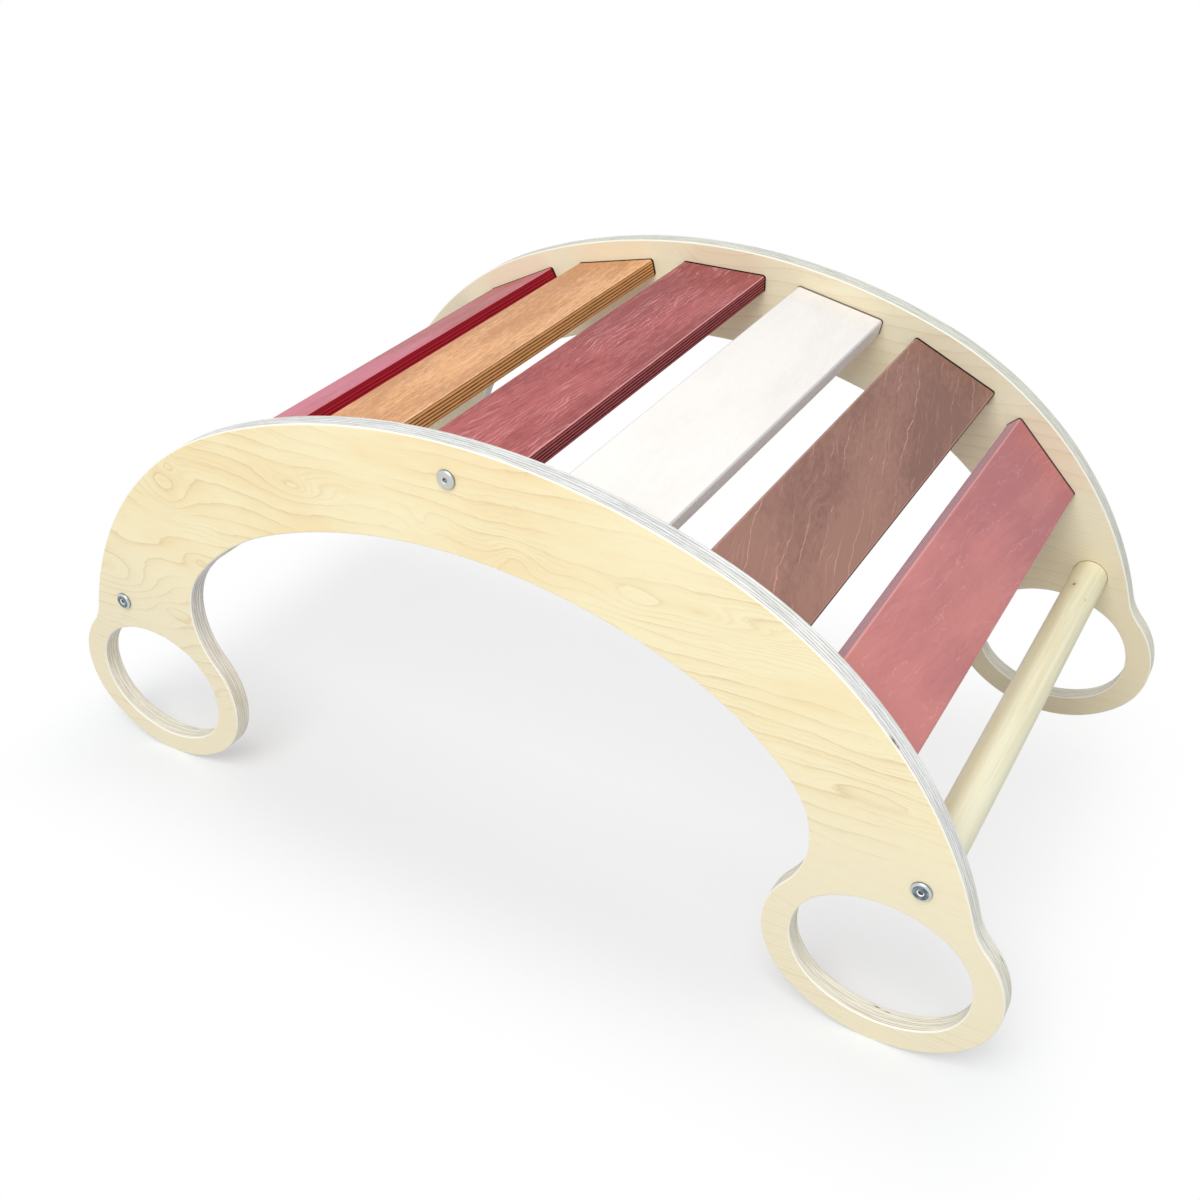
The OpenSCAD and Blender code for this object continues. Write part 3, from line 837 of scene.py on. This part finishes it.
def densified(loop, spacing):
    """A closed loop with an extra point every spacing along it, but none beside a point that is there."""
    closed = np.vstack([loop, loop[:1]])
    along = np.concatenate([[0.0], np.cumsum(np.linalg.norm(np.diff(closed, axis=0), axis=1))])
    extra = np.arange(0.0, along[-1], spacing)
    far = np.abs(extra[:, None] - along[None, :]).min(axis=1) > spacing / 4
    places = np.sort(np.concatenate([along[:-1], extra[far]]))
    return np.column_stack([np.interp(places, along, closed[:, k]) for k in (0, 1)])


def slat_solid(steps):
    """The rounded rectangle of a slat's section, carried straight along Y. The middle one, which is bolted, has a
    round bore in each end: B(p) = BORE_RADIUS p / |p| for each point p of the section."""
    solid = Solid()
    bolted = steps == 0
    middle, angle = slat_place(steps)
    section = rounded_rectangle(SLAT_WIDTH, SLAT_THICKNESS, SLAT_EDGE_RADIUS)
    loop = turned(densified(section, BORED_SLAT_SPACING) if bolted else section, middle, angle)
    ends = [solid.add_ring(lifted(loop, y)) for y in (-member_end, member_end)]
    solid.add_band(ends, [lifted(outward(loop), 0)] * 2)
    spoke = (loop - middle) / np.linalg.norm(loop - middle, axis=1, keepdims=True)
    bore = middle + spoke * BORE_RADIUS
    for cap, facing in zip(ends, (-1.0, 1.0)):
        flat = np.tile([0.0, facing, 0.0], (len(loop), 1))
        if bolted:
            mouth = solid.add_ring(lifted(bore, facing * member_end))
            floor = solid.add_ring(lifted(bore, facing * (member_end - BORE_DEPTH)))
            solid.add_band([cap, mouth], [flat, flat])
            solid.add_band([mouth, floor], [lifted(-spoke, 0)] * 2)
            cap = floor
        solid.add_faces(cap[None, :].copy(), flat[None])
    return solid


for steps, (stain, look) in zip(range(-3, 4), STAINS.items()):
    board = slat_solid(steps).make("board_" + stain)
    board.data.materials.append(stained_ply(stain + " stained plywood", steps, **look))
    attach(board, "root")
    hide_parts(f"slat_{steps + 4}")

# ---- rails ----------------------------------------------------------------------------------
# Two round bars turned from pale hardwood, smoothed and varnished. Each is pressed into round pockets
# in both panels, and a bolt holds each of its ends.

RAIL_CHAMFER = 0.001
RAIL_STEPS = 128
RAIL_PALE = (0.975, 0.932, 0.695)
RAIL_WARM = (0.860, 0.775, 0.490)
RAIL_FLANK = (0.780, 0.720, 0.470)
RAIL_LIT_ANGLE = 32
RAIL_LINE = (0.560, 0.420, 0.220)
KNOT_BROWN = (0.190, 0.100, 0.045)
POOLED_VARNISH_AND_GAP_SHADE = (0.0010, 0.0003)


def add_turned(solid, strips, steps, centre, start, facing):
    """Turns a profile round an axis along Y. A strip is a smooth run of (radius, along) points, and strips
    meet at sharp edges. A point lies at (centre x + r cos t, start + facing * along, centre z + r sin t), and
    r may vary with t. A normal is the cross product of the grid's two tangents. Both ends of the profile are
    closed with a fan of triangles round a point on the axis."""
    t = np.linspace(0, 2 * np.pi, steps, endpoint=False)
    last = None
    for strip in strips:
        radius = np.stack([np.broadcast_to(r, steps) for r, along in strip])
        along = np.broadcast_to(np.array([a for r, a in strip])[:, None], radius.shape)
        points = np.stack([centre[0] + radius * np.cos(t), start + facing * along,
                           centre[1] + radius * np.sin(t)], axis=2)
        round_way = np.roll(points, -1, axis=1) - np.roll(points, 1, axis=1)
        normal = facing * np.cross(round_way, np.gradient(points, axis=0))
        normal /= np.linalg.norm(normal, axis=2)[..., None]
        rings = [solid.add_ring(points[0]) if last is None else last]
        rings += [solid.add_ring(ring) for ring in points[1:]]
        solid.add_band(rings, list(normal))
        if last is None:
            first = rings[0]
        last = rings[-1]
    for ring, along, cap_facing in ((first, strips[0][0][1], facing), (last, strips[-1][-1][1], -facing)):
        middle = solid.add_ring(np.array([[centre[0], start + facing * along, centre[1]]]))
        fan = np.column_stack([ring, np.roll(ring, -1), np.repeat(middle, steps)])
        solid.add_faces(fan, np.tile([0.0, cap_facing, 0.0], (steps, 3, 1)))


def turned_wood(name, knots):
    """Grain along Y. knots are (x, y, z, size). Both flanks of a bar are toned down a little, as less of the
    light reaches them in the photo than on the line RAIL_LIT_ANGLE degrees outward from its top."""
    material, nodes, shader, place = new_material(name)
    x, y, z = nodes.split(place)
    figure = nodes.use(veneer_figure, Place=nodes.join(y, x, z), Lines=125.0, Wander=3.0)
    streak = nodes.noise(place, (260.0, 7.0, 260.0), detail=3.0, roughness=0.6)
    # warmth also carries painted light and shade: the bar is painted paler at its front end and darker towards its
    # back end.
    warmth = (nodes.ramp(streak, 0.30, 0.80) + nodes.ramp(y, -0.17, 0.08, -0.50, 0.05)).clamped()
    colour = nodes.mix(warmth, RAIL_PALE, RAIL_WARM)
    angle = np.radians(RAIL_LIT_ANGLE)
    aside, upward = np.array([np.sin(angle), np.cos(angle)]) / (RAIL_DIAMETER / 2)
    facing = (abs(x) - rail_place[0]) * aside + (z - rail_place[1]) * upward
    colour = nodes.mix(nodes.ramp(facing, 0.98, 0.50, 0.0, 0.8), colour, RAIL_FLANK)
    colour = nodes.mix(figure["Line"] * 0.22, colour, RAIL_LINE)
    for *centre, size in knots:
        halo = nodes.spot(place, centre, (size * 3, size * 6, size * 3)) * 0.35
        core = (nodes.spot(place, centre, (size, size * 1.4, size)) * 1.3).clamped()
        colour = nodes.mix(core, nodes.mix(halo, colour, RAIL_LINE), KNOT_BROWN)
    # A dark line where the bar meets a panel: partly pooled varnish, partly painted shade of the gap.
    starts, full = (inner_gap / 2 - distance for distance in POOLED_VARNISH_AND_GAP_SHADE)
    colour = nodes.mix(nodes.ramp(abs(y), starts, full, 0.0, 0.7), colour, KNOT_BROWN)
    nodes.feed(shader.inputs["Base Color"], colour)
    varnish(nodes, shader, place, streak, 0.40, gloss=0.24)
    return material


def bar_strips():
    """A bar's profile from the floor of one bore to the floor of the other. Every stretch
    between two corners is a strip of its own."""
    radius = RAIL_DIAMETER / 2
    half = [(BORE_RADIUS, member_end - BORE_DEPTH), (BORE_RADIUS, member_end),
            (radius - RAIL_CHAMFER, member_end), (radius, member_end - RAIL_CHAMFER)]
    corners = half + [(r, -along) for r, along in half[::-1]]
    return [list(stretch) for stretch in zip(corners, corners[1:])]


rail_wood = turned_wood("varnished hardwood", [(0.4017, 0.1884, 0.1921, 0.0012), (0.4172, 0.1696, 0.1896, 0.0004)])
for side, side_name in ((-1, "left"), (1, "right")):
    solid = Solid()
    add_turned(solid, bar_strips(), RAIL_STEPS, rail_place * (side, 1), 0.0, 1)
    bar = solid.make("bar_" + side_name)
    bar.data.materials.append(rail_wood)
    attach(bar, "root")
    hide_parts("rail_" + side_name)

# ---- bolts ----------------------------------------------------------------------------------
# Zinc-plated connector bolts with a flat head, a rounded rim and a hexagon socket whose countersink carries a
# painted highlight. Each passes through a panel into the threaded insert of a rail or of the mahogany slat.

HEAD_RADIUS = 0.0085
HEAD_HEIGHT = 0.003
HEAD_RIM = 0.002
RIM_START = np.radians(22)
RIM_POINTS = 9
HEAD_FOOT = 0.0002
SOCKET_WIDTH = 0.004
SOCKET_DEPTH = 0.002
COUNTERSINK_RADIUS = 0.0029
COUNTERSINK_DEPTH = 0.0005
BOLT_RADIUS = 0.003
BOLT_LENGTH = 0.030
PLAIN_SHANK = 0.008
THREAD_PITCH = 0.001
THREAD_DEPTH = 0.0005
THREAD_STEP = THREAD_PITCH / 6
THREAD_RUNOUT = 0.0015
TIP_CHAMFER = 0.0008
BOLT_STEPS = 72
ZINC_BRIGHT = (0.500, 0.545, 0.570)
ZINC_PALE = (0.640, 0.625, 0.585)
ZINC_BLUE = (0.110, 0.155, 0.175)
ZINC_COUNTERSINK_HIGHLIGHT = (0.900, 0.940, 0.950)
ZINC_RIM_HIGHLIGHT = (0.600, 0.635, 0.650)
ZINC_SOCKET_SHADE = (0.260, 0.280, 0.290)
SOCKET_EDGE = outer_face + HEAD_HEIGHT - COUNTERSINK_DEPTH
# Pairs of radii between which the head's colour, painted highlights and shade among it, goes over into the next one
RIM_BLEND = (0.0062, 0.0068)
OUTLINE_SHADE_BLEND = (0.0079, 0.0085)
HIGHLIGHT_RING_BLEND = (0.0031, 0.0028)
SOCKET_BLEND = (0.0026, 0.0025)


def bolt_strips():
    """The head's profile from the socket's floor outwards, then down the shank. The socket's radius
    follows a hexagon: half its width over cos of the angle from the nearest flat's middle. The thread's
    radius drops as a triangle wave of height plus turn."""
    t = np.linspace(0, 2 * np.pi, BOLT_STEPS, endpoint=False)
    hexagon = SOCKET_WIDTH / 2 / np.cos((t + np.pi / 6) % (np.pi / 3) - np.pi / 6)
    bevel = HEAD_HEIGHT - COUNTERSINK_DEPTH
    rim = [(HEAD_RADIUS - HEAD_RIM + HEAD_RIM * (np.sin(u) - np.sin(RIM_START)) / (1 - np.sin(RIM_START)),
            HEAD_HEIGHT - HEAD_RIM + HEAD_RIM * np.cos(u) / np.cos(RIM_START))
           for u in np.linspace(RIM_START, np.pi / 2, RIM_POINTS)]
    thread = []
    for along in np.arange(-PLAIN_SHANK - THREAD_STEP, -BOLT_LENGTH + THREAD_RUNOUT, -THREAD_STEP):
        wave = np.abs(2 * ((along / THREAD_PITCH + t / (2 * np.pi)) % 1) - 1)
        thread.append((BOLT_RADIUS - THREAD_DEPTH * wave, along))
    tip = (BOLT_RADIUS - TIP_CHAMFER, -BOLT_LENGTH)
    return [
        [(hexagon, HEAD_HEIGHT - SOCKET_DEPTH), (hexagon, bevel)],
        [(hexagon, bevel), (COUNTERSINK_RADIUS, HEAD_HEIGHT)],
        [(COUNTERSINK_RADIUS, HEAD_HEIGHT), rim[0]],
        rim,
        [rim[-1], (HEAD_RADIUS, HEAD_FOOT)],
        [(HEAD_RADIUS, HEAD_FOOT), (HEAD_RADIUS - HEAD_FOOT, 0.0)],
        [(HEAD_RADIUS - HEAD_FOOT, 0.0), (BOLT_RADIUS, 0.0)],
        [(BOLT_RADIUS, 0.0), (BOLT_RADIUS, -PLAIN_SHANK), thread[0]],
        thread,
        [thread[-1], tip],
    ]


def zinc_plate(name):
    """Turned rings round the nearest bolt's axis, and a cloudy passivation on the flat of the head. The flat is
    painted pale on the top bolts and dark bluish on the side ones, as painted reflections. The rim is painted
    bright as a painted highlight, inside a darker outline of painted shade; a white ring on the countersink is a
    painted highlight, and the socket is painted dark as painted shade."""
    material, nodes, shader, place = new_material(name)
    x, y, z = nodes.split(place)
    side_away = nodes.vector("LENGTH", nodes.join(abs(x) - rail_place[0], 0.0, z - rail_place[1]))
    top_away = nodes.vector("LENGTH", nodes.join(x, 0.0, z - top_bolt_place[1]))
    away = nodes.math("MINIMUM", side_away, top_away)
    rings = nodes.add("TexNoise", {"W": away * 4500.0, "Detail": 2.0, "Scale": 1.0}, noise_dimensions="1D")
    cloud = nodes.noise(place, 260.0, detail=3.0)
    is_side = nodes.ramp(abs(x), 0.1, 0.2)
    # Painted reflections: the flat is pale on the top bolts and dark bluish on the side ones.
    flat = nodes.mix(is_side, ZINC_PALE, ZINC_BLUE)
    flat = nodes.mix(nodes.ramp(cloud, 0.40, 0.70, 0.0, 0.45), flat, ZINC_BRIGHT)
    # Painted highlight on the rim, inside an outline of painted shade.
    colour = nodes.mix(nodes.ramp(away, *RIM_BLEND), flat, ZINC_RIM_HIGHLIGHT)
    colour = nodes.mix(nodes.ramp(away, *OUTLINE_SHADE_BLEND, 0.0, 0.6), colour, ZINC_BLUE)
    # Painted highlight: a white ring on the countersink, fainter on the top bolts.
    ring = nodes.ramp(away, *HIGHLIGHT_RING_BLEND) * nodes.ramp(is_side, 0.0, 1.0, 0.35, 1.0)
    colour = nodes.mix(ring, colour, ZINC_COUNTERSINK_HIGHLIGHT)
    # Painted shade: the socket is painted dark.
    socket_shade = nodes.ramp(abs(y), SOCKET_EDGE, SOCKET_EDGE - 0.0001) * nodes.ramp(away, *SOCKET_BLEND)
    nodes.feed(shader.inputs["Base Color"], nodes.mix(socket_shade, colour, ZINC_SOCKET_SHADE))
    nodes.feed(shader.inputs["Metallic"], 1.0)
    nodes.feed(shader.inputs["Roughness"], cloud * 0.22 + 0.22)
    nodes.emboss(shader, rings, 0.00002, 0.35)
    return material


zinc = zinc_plate("zinc plate")
for end, end_name in ((-1, "front"), (1, "back")):
    for bolt_name, bolt_place in bolt_places.items():
        solid = Solid()
        add_turned(solid, bolt_strips(), BOLT_STEPS, bolt_place, end * outer_face, end)
        screw = solid.make(f"screw_{end_name}_{bolt_name}")
        screw.data.materials.append(zinc)
        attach(screw, "root")
        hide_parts(f"bolt_{end_name}_{bolt_name}")

# ---- threaded inserts -----------------------------------------------------------------------
# Brass sleeves pressed into the ends of the rails and of the mahogany slat, where nobody sees them. The
# solids of the source stay, and take a brass finish.

BRASS_BRIGHT = (0.72, 0.52, 0.22)
BRASS_STAINED = (0.52, 0.36, 0.14)


def brass(name):
    """Cast brass with cloudy stains, duller and a little raised where they lie."""
    material, nodes, shader, place = new_material(name)
    stain = nodes.noise(place, 400.0, detail=3.0)
    nodes.feed(shader.inputs["Base Color"], nodes.mix(stain, BRASS_BRIGHT, BRASS_STAINED))
    nodes.feed(shader.inputs["Metallic"], 1.0)
    nodes.feed(shader.inputs["Roughness"], stain * 0.3 + 0.2)
    nodes.emboss(shader, stain, 0.00003, 0.3)
    return material


insert_brass = brass("insert brass")
for name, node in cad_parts.items():
    if name.startswith("insert"):
        node.data.materials.clear()
        node.data.materials.append(insert_brass)

# ---- floor and light ------------------------------------------------------------------------
# A white studio floor that fades into a white world, a soft sky and one large soft lamp above the
# camera. To the camera the floor is mostly white of its own, so that only a faint shadow is left on it,
# and that shadow fades out in front of, beside and behind the arch.

FLOOR_REACH = 8.0
SHADOW_SHARE = 0.25
SHADOW_SHARE_FRONT = 0.66
SHADOW_FADE_FRONT = (-0.42, -0.25)
SHADOW_FADE_BACK = (0.12, 0.34)
SHADOW_FADE_SIDE = (0.43, 0.56)
WHITE = (1.0, 1.0, 1.0)
PAPER = (0.74, 0.74, 0.74)
SHADOW_CATCHER = (0.850, 0.868, 0.890)
SKY_LIGHT = 0.60
SKY_TINT = (0.930, 0.970, 1.0)
LAMP_PLACE = (0.30, -1.75, 2.60)
LAMP_TARGET = (0.0, 0.0, 0.2)
LAMP_SIZE = 2.2
LAMP_POWER = 54.0
LAMP_TINT = (1.0, 0.985, 0.945)


def sees_background(nodes):
    """1 for rays that come straight from the camera, off a gloss or through glass."""
    ray = nodes.add("LightPath", {}).siblings()
    seen = nodes.math("MAXIMUM", ray["Is Camera Ray"], ray["Is Glossy Ray"])
    return nodes.math("MAXIMUM", seen, ray["Is Transmission Ray"])


floor_mesh = bpy.data.meshes.new("floor")
reach = FLOOR_REACH
floor_mesh.from_pydata([(-reach, -reach, 0), (reach, -reach, 0), (reach, reach, 0), (-reach, reach, 0)],
                       [], [(0, 1, 2, 3)])
floor = add_object("floor", floor_mesh)
floor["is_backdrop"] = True

floor_paper, nodes, shader, place = new_material("floor paper")
floor_mesh.materials.append(floor_paper)
nodes.tree.nodes.remove(shader)
paper = nodes.add("BsdfDiffuse", {"Color": PAPER})
white = nodes.add("Emission", {"Color": WHITE, "Strength": 1.0})
shadow_catcher = nodes.add("BsdfDiffuse", {"Color": SHADOW_CATCHER})
x, y, z = nodes.split(place)
share = nodes.ramp(y, -0.26, -0.06, SHADOW_SHARE_FRONT, SHADOW_SHARE) * nodes.ramp(y, *SHADOW_FADE_FRONT)
share = share * nodes.ramp(y, *SHADOW_FADE_BACK, 1.0, 0.0) * nodes.ramp(abs(x), *SHADOW_FADE_SIDE, 1.0, 0.0)
shown = nodes.add("MixShader", {0: share, 1: white, 2: shadow_catcher})
surface = nodes.add("MixShader", {0: sees_background(nodes), 1: paper, 2: shown})
nodes.feed(nodes.tree.nodes["Material Output"].inputs["Surface"], surface)

world = bpy.data.worlds.new("world")
bpy.context.scene.world = world
world.use_nodes = True
nodes = Nodes(world.node_tree)
background = world.node_tree.nodes["Background"]
seen = sees_background(nodes)
nodes.feed(background.inputs["Color"], nodes.mix(seen, SKY_TINT, WHITE))
nodes.feed(background.inputs["Strength"], seen * (1.0 - SKY_LIGHT) + SKY_LIGHT)

lamp_data = bpy.data.lights.new("soft lamp", "AREA")
lamp_data.shape = "DISK"
lamp_data.size = LAMP_SIZE
lamp_data.energy = LAMP_POWER
lamp_data.color = LAMP_TINT
lamp = add_object("soft lamp", lamp_data)
lamp.location = LAMP_PLACE
lamp.rotation_euler = (Vector(LAMP_TARGET) - Vector(LAMP_PLACE)).to_track_quat("-Z", "Y").to_euler()

bpy.context.scene.view_settings.view_transform = "Standard"

shown_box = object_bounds()
boxes = {"cad": cad_box, "shown": shown_box}
{name: [list(corner) for corner in box] for name, box in boxes.items()}
